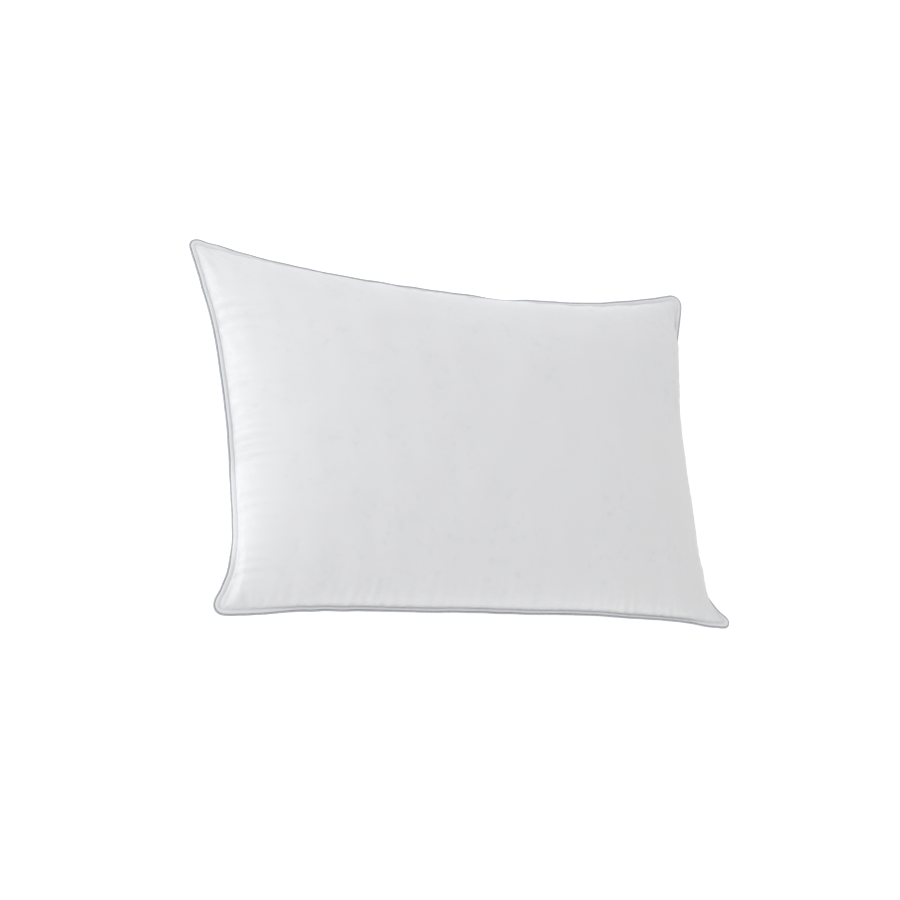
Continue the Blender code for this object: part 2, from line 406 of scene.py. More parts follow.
def piping_material(colour):
    shade = Shade("piping", colour, 0.75, Sheen_Weight=0.2, Sheen_Roughness=0.5)
    place = shade.place()
    u, v = shade.across()
    slub = shade.noise(place, 420.0, 3.0, 0.6)
    weave = plain_weave((u + v) * 0.7071, (u - v) * 0.7071, 0.00040)
    tone = shade.mix(slub.ramp(0.35, 0.7), toned(colour, 0.88), toned(colour, 1.1))
    shade.feed("Base Color", tone)
    shade.feed("Roughness", 0.68 + 0.16 * slub)
    shade.feed("Normal", shade.bump(weave * (0.7 + 0.6 * slub), 0.00010, 0.7))
    return shade.material


def thread_material(colour):
    shade = Shade("thread", colour, 0.45, Sheen_Weight=0.15)
    place = shade.place()
    fibre = shade.noise(place, 2600.0, 2.0, 0.6)
    shade.feed("Base Color", shade.mix(fibre.ramp(0.3, 0.7), toned(colour, 0.9), colour))
    shade.feed("Roughness", 0.38 + 0.2 * fibre)
    shade.feed("Normal", shade.bump(fibre, 0.00008, 0.6))
    return shade.material


def cord_material(colour):
    shade = Shade("cord", colour, 0.9)
    u, v = shade.across()
    twist = abs((((u / 0.0022) + (v / 0.0050)) * math.pi).sin())
    # The grooves between the cord's twisted strands are painted darker: painted shade.
    shade.feed("Base Color", shade.mix(twist, toned(colour, 0.82), colour))
    shade.feed("Roughness", 0.82 + 0.12 * twist)
    shade.feed("Normal", shade.bump(twist, 0.00025, 0.8))
    return shade.material


def down_material(colour):
    shade = Shade("down_feather", colour, 0.95, Sheen_Weight=0.4)
    place = shade.place()
    tufts = shade.noise(place, 70.0, 6.0, 0.7)
    quills = shade.noise(place, 420.0, 2.0, 0.7)
    # The hollows between the tufts are painted darker: painted shade.
    shade.feed("Base Color", shade.mix(tufts.ramp(0.35, 0.7), toned(colour, 0.8), colour))
    shade.feed("Roughness", 0.85 + 0.12 * quills)
    shade.feed("Normal", shade.bump(tufts + quills * 0.3, 0.004, 0.8))
    return shade.material


def label_material(colour):
    shade = Shade("label", colour, 0.4, Sheen_Weight=0.2)
    u, v = shade.across()
    slub = shade.noise(shade.place(), 500.0, 2.0, 0.6)
    satin = abs((((u / 0.0011) + (v / 0.00028)) * math.pi).sin())
    shade.feed("Base Color", shade.mix(slub.ramp(0.3, 0.7), toned(colour, 0.96), colour))
    shade.feed("Roughness", 0.32 + 0.2 * satin)
    shade.feed("Normal", shade.bump(satin, 0.00005, 0.5))
    return shade.material


def floor_material():
    shade = Shade("floor", (0.93, 0.93, 0.935), 0.9, Emission_Strength=0.32)
    shade.feed("Emission Color", (1.0, 1.0, 1.0, 1.0))
    speck = shade.noise(shade.place(), 30.0, 3.0, 0.5)
    shade.feed("Base Color", shade.mix(speck, (0.925, 0.925, 0.93), (0.94, 0.94, 0.94)))
    shade.feed("Roughness", 0.85 + 0.1 * speck)
    return shade.material


# ---------------------------------------------------------------- the sewn edge


def wave(seed, turns, count):
    """A smooth closed wave with a mean of 0 and a height of about 1, over count steps of one round."""
    rng = np.random.default_rng(seed)
    turn = np.linspace(0, 2 * np.pi, count, endpoint=False)
    total = np.zeros(count)
    low, high = turns
    for n in range(low, high + 1):
        total += rng.normal() * np.sin(n * turn + rng.uniform(0, 2 * np.pi))
    return total / max(1e-9, np.abs(total).max())


def spread(cells):
    """Places from -1 to 1, closer together towards both ends, where the corners bend the rows."""
    even = np.linspace(-1, 1, cells + 1)
    return 1.3 * even - 0.3 * even**3


def smooth_step(share):
    """A share from 0 to 1 that starts and ends gently."""
    share = share.clip(0, 1)
    return share * share * (3 - 2 * share)


def side_curve(side, sizes, count=400):
    """The stitched line of one side, from corner middle to corner middle, dense and rounded."""
    half_length, half_width = FOLD_LENGTH / 2 - LINE_INSET_ENDS, FOLD_WIDTH / 2 - LINE_INSET_SIDES
    halves = (half_length, half_width)
    reaches = sizes.corner_reach

    def sharp(which, along):
        # The short edges are drawn in most a little nearer to the front, where the filling has sunk.
        lean = (0.0, 0.15, 0.05, -0.15)[which] * (1 - along * along)
        power = 3.0 if which == REAR and along > 0 else 2.5
        if which in (RIGHT, LEFT):
            power = sizes.edge_bow[which - 1 if along + lean < 0 else which]
        far = halves[1 - which % 2] - sizes.draw_in[which] * (1 - abs(along + lean) ** power)
        way = OUT[which]
        return far * way + along * halves[which % 2] * np.array((-way[1], way[0]))

    def corner(which, shares):
        reach = reaches[which]
        start, tip = sharp(which, 1 - reach / halves[which % 2]), sharp(which, 1)
        end = sharp((which + 1) % 4, -1 + reach / halves[1 - which % 2])
        return [(start * (1 - s) + tip * s) * (1 - s) + (tip * (1 - s) + end * s) * s for s in shares]

    half = halves[side % 2]
    low, high = reaches[side - 1] / half - 1, 1 - reaches[side] / half
    points = corner((side - 1) % 4, np.linspace(0.5, 1, 12)[:-1])
    points += [sharp(side, along) for along in np.linspace(low, high, count)]
    points += corner(side, np.linspace(0, 0.5, 12)[1:])
    return np.array(points)


def edge_ring(sizes, long_cells, short_cells):
    """The stitched line as one ring that starts at the front left corner and goes anticlockwise, with
    its inward directions. Each side is stepped into the given number of cells."""
    points = []
    for side in range(4):
        curve = side_curve(side, sizes)
        gone = np.concatenate(([0], np.cumsum(np.linalg.norm(np.diff(curve, axis=0), axis=1))))
        cells = long_cells if side % 2 == 0 else short_cells
        steps = gone[-1] * (spread(cells)[:-1] + 1) / 2
        points.append(np.stack([np.interp(steps, gone, curve[:, k]) for k in range(2)], axis=1))
    ring = np.concatenate(points)
    run = np.roll(ring, -1, axis=0) - np.roll(ring, 1, axis=0)
    run /= np.linalg.norm(run, axis=1)[:, None]
    inward = np.stack([-run[:, 1], run[:, 0]], axis=1)
    return ring, inward


def relaxed(values, rounds):
    """Smooths a closed ring of values."""
    for _ in range(rounds):
        values = 0.5 * values + 0.25 * (np.roll(values, 1, axis=0) + np.roll(values, -1, axis=0))
    return values


# ---------------------------------------------------------------- mesh helpers


def new_object(name, points, faces, uvs=None, material=None):
    """A plain mesh object at the origin. uvs holds one pair for each corner of each face."""
    mesh = bpy.data.meshes.new(name)
    mesh.from_pydata([tuple(map(float, p)) for p in points], [], [tuple(map(int, f)) for f in faces])
    if uvs is not None:
        layer = mesh.uv_layers.new(name="cloth")
        layer.data.foreach_set("uv", np.asarray(uvs, dtype=np.float32).ravel())
    mesh.validate()
    mesh.update()
    piece = bpy.data.objects.new(name, mesh)
    bpy.context.scene.collection.objects.link(piece)
    if material is not None:
        mesh.materials.append(material)
    mesh.shade_smooth()
    return piece


def made_plain(source):
    """The object's mesh as its modifiers leave it. The object itself is removed."""
    graph = bpy.context.evaluated_depsgraph_get()
    mesh = bpy.data.meshes.new_from_object(source.evaluated_get(graph), depsgraph=graph)
    bpy.data.objects.remove(source, do_unlink=True)
    return mesh


def squares(grid):
    """The four corners of each square of a grid, anticlockwise, one square a row."""
    corners = np.stack([grid[:-1, :-1], grid[1:, :-1], grid[1:, 1:], grid[:-1, 1:]], axis=2)
    return corners.reshape(-1, *corners.shape[2:])


def ring_squares(inner, outer):
    """The four corners of each square between two rings, one square a row."""
    return np.stack([inner, outer, np.roll(outer, -1, axis=0), np.roll(inner, -1, axis=0)], axis=1)


def ring_strip(rows, runs, heights, closed_across):
    """Faces and cloth coordinates between rings of points. runs are the distances round the ring,
    heights the distance across of each ring."""
    count = len(rows[0])
    points = np.concatenate(rows)
    faces, uvs = [], []
    pairs = [(i, i + 1) for i in range(len(rows) - 1)]
    if closed_across:
        pairs.append((len(rows) - 1, 0))
    for i, j in pairs:
        far = heights[j] if j else heights[-1] + (heights[1] - heights[0])
        for k in range(count):
            n = (k + 1) % count
            faces.append((i * count + k, i * count + n, j * count + n, j * count + k))
            end = runs[k + 1]
            uvs += [(runs[k], heights[i]), (end, heights[i]), (end, far), (runs[k], far)]
    return points, faces, uvs


def outwards(piece, closed=True):
    """Turns a piece's faces to point out."""
    mesh = bmesh.new()
    mesh.from_mesh(piece.data)
    bmesh.ops.recalc_face_normals(mesh, faces=mesh.faces)
    if closed and mesh.calc_volume(signed=True) < 0:
        bmesh.ops.reverse_faces(mesh, faces=mesh.faces)
    mesh.to_mesh(piece.data)
    mesh.free()


LOOK_NAMES = {
    "front_panel": "front_ticking",
    "back_panel": "back_ticking",
    "piping_cover": "piping_strip",
    "piping_cord": "filler_cord",
    "needle_thread": "needle_stitches",
    "bobbin_thread": "bobbin_stitches",
    "closing_thread": "closing_stitches",
    "care_label": "label_tape",
    "down_feather_fill": "down_and_feathers",
}


def declare(piece, node):
    """Says which solid the piece stands for and what it rides on, and hides that solid."""
    piece.name = piece.data.name = LOOK_NAMES[node]
    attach(piece, BODY)
    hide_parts(node)


# ---------------------------------------------------------------- panels


def fullness(u, v):
    """Share of the full rise over the unit square, before the cloth settles. The filling has moved
    away from the right-hand end a little, so that end rises more gently."""
    ends = np.where(u < 0, (1 - np.abs(u) ** 2.4).clip(0) ** 0.54, (1 - np.abs(u) ** 2.2).clip(0) ** 0.56)
    edges = np.where(v < 0, (1 - np.abs(v) ** 3.0).clip(0) ** 0.52, (1 - np.abs(v) ** 3.0).clip(0) ** 0.64)
    return ends * edges


def filled_shape(sizes, long_cells, short_cells, ring):
    """Front and back panels as grids of points, pinned at the stitched ring."""
    m, n = long_cells, short_cells
    # The four sides of the ring, each from low to high along its axis.
    closed = np.concatenate([ring, ring[:1]])
    front, right = closed[: m + 1], closed[m : m + n + 1]
    rear, left = closed[m + n : 2 * m + n + 1][::-1], closed[2 * m + n :][::-1]
    s = (spread(m)[:, None, None] + 1) / 2
    t = (spread(n)[None, :, None] + 1) / 2
    plan = (1 - t) * front[:, None] + t * rear[:, None] + (1 - s) * left[None] + s * right[None]
    plan -= (1 - s) * (1 - t) * front[0] + s * (1 - t) * front[-1]
    plan -= (1 - s) * t * rear[0] + s * t * rear[-1]
    u, v = 2 * s[..., 0] - 1, 2 * t[..., 0] - 1
    rise = fullness(u + 0 * v, v + 0 * u)
    seams = from_seam(plan.shape)
    for which, way in enumerate(OUT):
        # The lean is greatest 15 mm in from the seam, and dies out towards the corners.
        deep = seams[which] / 0.015
        corner = np.minimum(seams[which - 1], seams[(which + 1) % 4])
        lean = sizes.overhang[which] * deep * np.exp(1 - deep) * smooth_step((corner - 0.025) / 0.06)
        plan[..., :2] += lean[..., None] * way
    top, base = plan.copy(), plan.copy()
    top[..., 2] += sizes.loft * rise
    base[..., 2] -= sizes.sag * rise
    return top, base


def settled(sizes, top, base, flat_length, flat_width):
    """Lets the filling push both panels out from inside, with their seam held, and returns them."""
    m, n = top.shape[0] - 1, top.shape[1] - 1
    # Both panels share the points of the seam.
    front = np.arange((m + 1) * (n + 1)).reshape(m + 1, n + 1)
    back = front.copy()
    back[1:-1, 1:-1] = front.size + np.arange((m - 1) * (n - 1)).reshape(m - 1, n - 1)

    def joined(first, second):
        return np.concatenate([first.reshape(-1, 3), second[1:-1, 1:-1].reshape(-1, 3)])

    xs, ys = spread(m) * flat_length / 2, spread(n) * flat_width / 2
    eased = 1 + sizes.gather_ends * np.abs(xs / xs[m]) ** 8
    flat = np.stack(np.broadcast_arrays(xs[:, None], ys * eased[:, None], SEAM_HEIGHT), axis=-1)
    inside_up = np.zeros(flat.shape)
    inside_up[1:-1, 1:-1, 2] = 1
    rough = np.random.default_rng(11).normal(size=(m + 1, n + 1, 1)) * 0.0004 * inside_up
    faces = np.concatenate([squares(front), squares(back)[:, ::-1]])
    case = new_object("settling_case", joined(flat + 0.0005 * inside_up, flat - 0.0005 * inside_up), faces)
    case.shape_key_add(name="cut")
    sewn = case.shape_key_add(name="sewn")
    sewn.data.foreach_set("co", joined(top + rough, base + rough).astype(np.float32).ravel())
    # The seam goes from the flat cut to the drawn-in edge while the filling pushes.
    for step, share in ((1, 0.0), (round(0.5 * sizes.frames), 1.0)):
        sewn.value = share
        sewn.keyframe_insert("value", frame=step)
    held = case.vertex_groups.new(name="seam")
    held.add(sorted(map(int, rim_of(front))), 1.0, "REPLACE")
    cloth = case.modifiers.new("Cloth", "CLOTH")
    for key, value in CLOTH_RULES.items():
        setattr(cloth.settings, key, value)
    cloth.settings.uniform_pressure_force = sizes.pressure
    cloth.settings.effector_weights.gravity = 0.0
    cloth.collision_settings.use_collision = False
    cloth.collision_settings.use_self_collision = False
    cloth.point_cache.frame_start, cloth.point_cache.frame_end = 1, sizes.frames
    scene = bpy.context.scene
    for step in range(1, sizes.frames + 1):
        scene.frame_set(step)
    mesh = made_plain(case)
    found = np.empty(len(mesh.vertices) * 3)
    mesh.vertices.foreach_get("co", found)
    found = found.reshape(-1, 3)
    bpy.data.meshes.remove(mesh)
    scene.frame_set(1)
    return found[front], found[back]


def calmed(start, puffed, sizes):
    """The settled cloth as packed filling holds it: its broad swell all over, its folds by the seam."""
    change = puffed - start
    calm = change.copy()
    for _ in range(90):
        calm[1:-1, 1:-1] = (calm[:-2, 1:-1] + calm[2:, 1:-1] + calm[1:-1, :-2] + calm[1:-1, 2:]) / 4
    inside = from_seam(start.shape).min(axis=0)
    share = sizes.creases * np.exp(-((inside / sizes.crease_reach) ** 2))
    return start + sizes.calm * calm + share[..., None] * (change - calm)


def from_seam(shape):
    """Distances of a grid's points from the front, right, rear and left seams, over the cloth."""
    x = spread(shape[0] - 1)[:, None] * FOLD_LENGTH / 2 + np.zeros((1, shape[1]))
    y = spread(shape[1] - 1)[None] * FOLD_WIDTH / 2 + np.zeros((shape[0], 1))
    return np.stack([FOLD_WIDTH / 2 + y, FOLD_LENGTH / 2 - x, FOLD_WIDTH / 2 - y, FOLD_LENGTH / 2 + x])


def gathered(grid, side, seed, sizes):
    """The cloth with the small gathers that the thread draws up along each seam, and soft swells."""
    facing = np.cross(np.gradient(grid, axis=0), np.gradient(grid, axis=1))
    facing *= side / np.linalg.norm(facing, axis=2, keepdims=True).clip(1e-12)
    seams = from_seam(grid.shape)
    total = np.zeros(grid.shape[:2])
    for which, length in enumerate((FOLD_LENGTH, FOLD_WIDTH) * 2):
        along, even = seams[which - 1], np.linspace(0, length, 600)
        gather = wave(seed + which, (round(length / 0.026), round(length / 0.012)), 600)
        gather = np.sign(gather) * np.abs(gather) ** 0.7
        swell = (0.55 + 0.8 * wave(seed + 7 + which, (1, 6), 600)).clip(0.25, 1)
        swell *= np.sin(np.pi * even / length) ** 0.4
        deep = seams[which] / sizes.pucker_reach[which]
        total += sizes.pucker[which] * np.interp(along, even, gather * swell) * deep * np.exp(1 - deep)
    rng = np.random.default_rng(seed + 50)
    inside = (seams.min(axis=0) / 0.03).clip(0, 1)
    for _ in range(14):
        long, way = rng.uniform(0.05, 0.14), rng.uniform(0, np.pi)
        phase = 2 * np.pi * (seams[3] * np.cos(way) + seams[0] * np.sin(way)) / long
        total += sizes.lumps * 0.5 * np.sin(phase + rng.uniform(0, 6.3)) * inside
    return grid + facing * total[..., None]


def subdivided(grid, rounds=1):
    """A finer grid of points on a smooth surface through the coarse one, with its rim kept."""
    for _ in range(rounds):
        for axis in (0, 1):
            grid = np.moveaxis(grid, axis, 0)
            ends = np.concatenate([2 * grid[:1] - grid[1:2], grid, 2 * grid[-1:] - grid[-2:-1]])
            between = (9 * (ends[1:-2] + ends[2:-1]) - (ends[:-3] + ends[3:])) / 16
            fine = np.empty((2 * grid.shape[0] - 1, *grid.shape[1:]))
            fine[0::2], fine[1::2] = grid, between
            grid = np.moveaxis(fine, 0, axis)
    return grid


def rim_of(grid):
    """The rim of a grid as one ring, anticlockwise from the first corner."""
    return np.concatenate([grid[:-1, 0], grid[-1, :-1], grid[:0:-1, -1], grid[0, :0:-1]])


def rested(heights):
    """Heights of the back panel, pressed softly flat where the weight meets the bed."""
    soft = REST_HEIGHT + REST_SOFTNESS
    pressed = REST_HEIGHT + REST_SOFTNESS * np.exp((heights - soft) / REST_SOFTNESS)
    return np.where(heights < soft, pressed, heights)


def border_roll(ring, m, n):
    """How far the border is turned up or down round the edge."""
    roll = 0.14 * wave(8, (3, 14), len(ring)) + 0.06 * wave(9, (20, 70), len(ring))
    side = np.repeat((FRONT, RIGHT, REAR, LEFT), (m, n, m, n))
    for which, axis, low, high, turn in BORDER_TURNS:
        place = ring[:, axis]
        roll += turn * (side == which) * smooth_step(np.minimum(place - low, high - place) / 0.03)
    return relaxed(roll, 6)


def rolled(out, high):
    """Ring of points at a distance out of the stitch row and a height off it, turned by the roll."""
    turn = made["roll"]
    across = out * np.cos(turn) - high * np.sin(turn)
    up = out * np.sin(turn) + high * np.cos(turn)
    return made["ring"] + made["outward"] * across[:, None] + np.array((0, 0, 1)) * up[:, None]


def panel(name, side, grid, flat_length, flat_width, material):
    """One panel: the filled crown, then the border out to the fold and back under."""
    m, n = grid.shape[0] - 1, grid.shape[1] - 1
    xs, ys = spread(m) * flat_length / 2, spread(n) * flat_width / 2
    flat = np.stack(np.meshgrid(xs, ys, indexing="ij"), axis=-1)
    index = np.arange((m + 1) * (n + 1)).reshape(m + 1, n + 1)
    on_rim = np.ones((m + 1, n + 1))
    on_rim[1:-1, 1:-1] = 0
    grid = grid.copy()
    grid[..., 2] += side * SEAM_PLIES * on_rim
    points, faces, uvs = [grid.reshape(-1, 3)], [squares(index)], [squares(flat)]
    inner, rim_uv = rim_of(index), rim_of(flat)
    inner_uv, count = rim_uv, len(inner)
    puff = 1 + 0.10 * wave(12 + side, (25, 80), count) + 0.10 * wave(17 + side, (100, 200), count)
    gone, last = 0.0, (0.0, SEAM_PLIES)
    for step, (out, high) in enumerate(BORDER_PROFILE):
        gone += math.dist((out, high), last)
        last = (out, high)
        points.append(rolled(out, side * high * (puff if high > SEAM_PLIES else 1)))
        outer = index.size + step * count + np.arange(count)
        outer_uv = rim_uv + made["outward"][:, :2] * gone
        faces.append(ring_squares(inner, outer))
        uvs.append(ring_squares(inner_uv, outer_uv))
        inner, inner_uv = outer, outer_uv
    faces, uvs = np.concatenate(faces)[:, ::side], np.concatenate(uvs)[:, ::side]
    return new_object(name, np.concatenate(points), faces, uvs, material)


class PILLOW_OT_inflate_panels(bpy.types.Operator):
    """Sew two ticking panels round their edge, fill them and let the cloth settle"""

    bl_idname = "pillow.inflate_panels"
    bl_label = "Inflate Panels"

    def execute(self, context):
        sizes, finish = context.scene.pillow_sizes, context.scene.pillow_finish
        long_cells = sizes.cells
        short_cells = round(sizes.cells * sizes.cut_width / sizes.cut_length)
        line, inward = edge_ring(sizes, long_cells, short_cells)
        count = len(line)
        # The sewn edge isn't quite straight or level: the filling pulls it in between its puckers.
        sway = 0.0012 * wave(3, (5, 22), count) + 0.0005 * wave(4, (30, 90), count)
        dip = 0.0022 * wave(5, (2, 9), count) + 0.0007 * wave(6, (14, 60), count)
        stitched = np.zeros((count, 3))
        stitched[:, :2] = line + inward * sway[:, None]
        stitched[:, 2] = SEAM_HEIGHT + dip
        top, base = filled_shape(sizes, long_cells, short_cells, stitched)
        taken = 2 * (sizes.stitch_inset + (CAD_BOX[1][0] - CAD_BOX[0][0] - FOLD_LENGTH) / 2)
        flat_length, flat_width = sizes.cut_length - taken, sizes.cut_width - taken
        puffed = settled(sizes, top, base, flat_length, flat_width)
        top, base = calmed(top, puffed[0], sizes), calmed(base, puffed[1], sizes)
        base[..., 2] = rested(base[..., 2])
        made["top"], made["base"] = top, base
        fine_top = gathered(subdivided(top), 1, 40, sizes)
        fine_base = gathered(subdivided(base), -1, 60, sizes)
        fine_base[..., 2] = fine_base[..., 2].clip(REST_HEIGHT)
        ring = rim_of(fine_top)
        run = relaxed(np.roll(ring, -1, axis=0) - np.roll(ring, 1, axis=0), 6)
        run[:, 2] = 0
        run /= np.linalg.norm(run, axis=1)[:, None]
        outward = np.stack([run[:, 1], -run[:, 0], 0 * run[:, 0]], axis=1)
        steps = np.linalg.norm(np.roll(ring, -1, axis=0) - ring, axis=1)
        made.update(ring=ring, outward=outward, runs=np.concatenate(([0], np.cumsum(steps))))
        made["roll"] = border_roll(ring, 2 * long_cells, 2 * short_cells)
        material = ticking_material(tuple(finish.ticking))
        for name, side, grid in (("front_panel", 1, fine_top), ("back_panel", -1, fine_base)):
            piece = panel(name, side, grid, flat_length, flat_width, material)
            declare(piece, name)
        return {"FINISHED"}


class PILLOW_OT_sew_piping(bpy.types.Operator):
    """Wrap a bias strip round a filler cord and catch its flange in the seam"""

    bl_idname = "pillow.sew_piping"
    bl_label = "Sew Piping"

    def execute(self, context):
        sizes, finish = context.scene.pillow_sizes, context.scene.pillow_finish
        ring, runs = made["ring"], made["runs"]
        count = len(ring)
        middle = sizes.stitch_inset + sizes.cord / 2 + 0.0001
        snug = 1 + 0.05 * wave(21, (60, 160), count)
        rise = 0.00025 * wave(22, (8, 40), count)
        skin, core_radius = sizes.cord / 2, 0.00066
        # The strip's flange starts just outside the stitch row, its two plies lying together.
        flange_start, ply, flange_width = 0.0008, 0.00022, 0.005
        rows, heights = [rolled(flange_start, ply)], [0.0]
        mouth = math.asin(ply / skin)
        sides = 14
        for k in range(sides + 1):
            turn = math.pi - mouth - (2 * math.pi - 2 * mouth) * k / sides
            rows.append(rolled(middle + skin * math.cos(turn) * snug, skin * math.sin(turn) * snug + rise))
            heights.append(flange_width + k * 2 * math.pi * skin / sides)
        rows.append(rolled(flange_start, -ply))
        heights.append(heights[-1] + flange_width)
        points, faces, uvs = ring_strip(rows, runs, heights, False)
        cover = new_object("piping_cover", points, faces, uvs, piping_material(tuple(finish.piping)))
        outwards(cover, closed=False)
        declare(cover, "piping_cover")
        every = slice(None, None, 2)
        rows, heights, sides = [], [], 8
        for k in range(sides):
            turn = 2 * math.pi * k / sides
            row = rolled(middle + core_radius * math.cos(turn), core_radius * math.sin(turn) + rise)
            rows.append(row[every])
            heights.append(k * 2 * math.pi * core_radius / sides)
        gone = np.concatenate((runs[:-1][every], runs[-1:]))
        points, faces, uvs = ring_strip(rows, gone, heights, True)
        core = new_object("piping_cord", points, faces, uvs, cord_material(tuple(finish.cord)))
        outwards(core)
        declare(core, "piping_cord")
        return {"FINISHED"}


# ---------------------------------------------------------------- thread rows


def stitch_tree(material):
    """Geometry nodes that lay a stitch at every step along a line and end in real meshes."""
    tree = bpy.data.node_groups.new("Stitch Row", "GeometryNodeTree")
    face = tree.interface
    face.new_socket("Line", in_out="INPUT", socket_type="NodeSocketGeometry")
    for name, value in (("Pitch", 0.003), ("Stitch Length", 0.0025), ("Thread", 0.0005)):
        socket = face.new_socket(name, in_out="INPUT", socket_type="NodeSocketFloat")
        socket.default_value = value
        socket.subtype = "DISTANCE"
    face.new_socket("Seed", in_out="INPUT", socket_type="NodeSocketInt")
    face.new_socket("Stitches", in_out="OUTPUT", socket_type="NodeSocketGeometry")

    def add(kind, settings=None, **sockets):
        node = tree.nodes.new(kind)
        for key, setting in (settings or {}).items():
            setattr(node, key, setting)
        for key, value in sockets.items():
            socket = node.inputs[key.replace("_", " ")]
            if isinstance(value, bpy.types.NodeSocket):
                tree.links.new(value, socket)
            else:
                socket.default_value = value
        return node.outputs

    given = add("NodeGroupInput")
    line = add("GeometryNodeMeshToCurve", Mesh=given["Line"])["Curve"]
    by_length = {"mode": "LENGTH"}
    spaced = add("GeometryNodeResampleCurve", by_length, Curve=line, Length=given["Pitch"])["Curve"]
    along = add("GeometryNodeInputTangent")["Tangent"]
    turned = add("FunctionNodeAlignRotationToVector", {"axis": "Z"}, Vector=along)["Rotation"]
    stitch = add("GeometryNodeMeshUVSphere", Segments=6, Rings=6, Radius=0.5)["Mesh"]
    lean = add("FunctionNodeRandomValue", {"data_type": "FLOAT_VECTOR"}, Seed=given["Seed"])
    node = lean[0].node
    node.inputs[0].default_value, node.inputs[1].default_value = (-0.10, -0.10, 0.0), (0.10, 0.10, 6.28)
    swung = add("FunctionNodeRotateRotation", {"rotation_space": "LOCAL"}, Rotation=turned)
    euler = add("FunctionNodeEulerToRotation")
    tree.links.new(lean[0], euler[0].node.inputs[0])
    tree.links.new(euler[0], swung[0].node.inputs["Rotate By"])
    thread, length = given["Thread"], given["Stitch Length"]
    size = add("ShaderNodeCombineXYZ", X=thread, Y=thread, Z=length)["Vector"]
    placed = {"Points": spaced, "Instance": stitch, "Rotation": swung[0], "Scale": size}
    laid = add("GeometryNodeInstanceOnPoints", **placed)
    real = add("GeometryNodeRealizeInstances", Geometry=laid["Instances"])["Geometry"]
    smooth = add("GeometryNodeSetShadeSmooth", Geometry=real)["Geometry"]
    final = add("GeometryNodeSetMaterial", Geometry=smooth, Material=material)["Geometry"]
    add("NodeGroupOutput", Stitches=final)
    return tree


def stitch_row(name, line, closed, tree, pitch, length, thread, seed):
    """One row of stitches along a line of points."""
    mesh = bpy.data.meshes.new(name)
    count = len(line)
    edges = [(k, (k + 1) % count) for k in range(count if closed else count - 1)]
    mesh.from_pydata([tuple(map(float, p)) for p in line], edges, [])
    source = bpy.data.objects.new(name + "_line", mesh)
    bpy.context.scene.collection.objects.link(source)
    rows = source.modifiers.new("Stitches", "NODES")
    rows.node_group = tree
    by_name = {item.name: item.identifier for item in tree.interface.items_tree if item.in_out == "INPUT"}
    for key, value in (("Pitch", pitch), ("Stitch Length", length), ("Thread", thread), ("Seed", seed)):
        rows[by_name[key]] = value
    piece = bpy.data.objects.new(name, made_plain(source))
    bpy.context.scene.collection.objects.link(piece)
    return piece


class PILLOW_OT_stitch_border(bpy.types.Operator):
    """Topstitch the border on both sides and close the filling opening"""

    bl_idname = "pillow.stitch_border"
    bl_label = "Stitch Border"

    def execute(self, context):
        sizes, finish = context.scene.pillow_sizes, context.scene.pillow_finish
        tree = stitch_tree(thread_material(tuple(finish.thread)))
        thread, pitch = sizes.thread, sizes.stitch_pitch
        for name, side in (("needle_thread", 1), ("bobbin_thread", -1)):
            line = rolled(0.0004, side * 0.0009)
            piece = stitch_row(name, line, True, tree, pitch, pitch * 0.84, thread, 2 + side)
            declare(piece, name)
        low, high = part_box("closing_thread")
        line = rolled(sizes.stitch_inset - 0.0013, 0.00185)
        kept = [p for p in line if p[0] > low[0] - 0.004 and low[1] <= p[1] <= high[1]]
        kept.sort(key=lambda p: p[1])
        piece = stitch_row("closing_thread", kept, False, tree, 0.0026, 0.0020, thread, 7)
        declare(piece, "closing_thread")
        return {"FINISHED"}


class PILLOW_OT_fill_chamber(bpy.types.Operator):
    """Fill the chamber between the panels with down and feathers"""

    bl_idname = "pillow.fill_chamber"
    bl_label = "Fill Chamber"

    def execute(self, context):
        finish = context.scene.pillow_finish
        # The filling keeps clear of the gathers, and has half as many squares each way as the cloth.
        keep = (slice(6, -6, 2), slice(6, -6, 2))
        top, base = made["top"][keep], made["base"][keep]
        middle = (top + base) / 2
        deep = from_seam(made["top"].shape).min(axis=0)[keep]
        tufts = np.random.default_rng(31).random(deep.shape)
        shares = 0.66 + 0.24 * (deep / 0.07).clip(0, 1) + 0.03 * tufts
        index = np.arange(deep.size).reshape(deep.shape)
        points = [(middle + (grid - middle) * shares[..., None]).reshape(-1, 3) for grid in (top, base)]
        rim, below = rim_of(index), index + index.size
        faces = np.concatenate([squares(index), squares(below)[:, ::-1], ring_squares(rim, rim_of(below))])
        material = down_material(tuple(finish.down))
        piece = new_object("down_feather_fill", np.concatenate(points), faces, None, material)
        outwards(piece)
        declare(piece, "down_feather_fill")
        return {"FINISHED"}


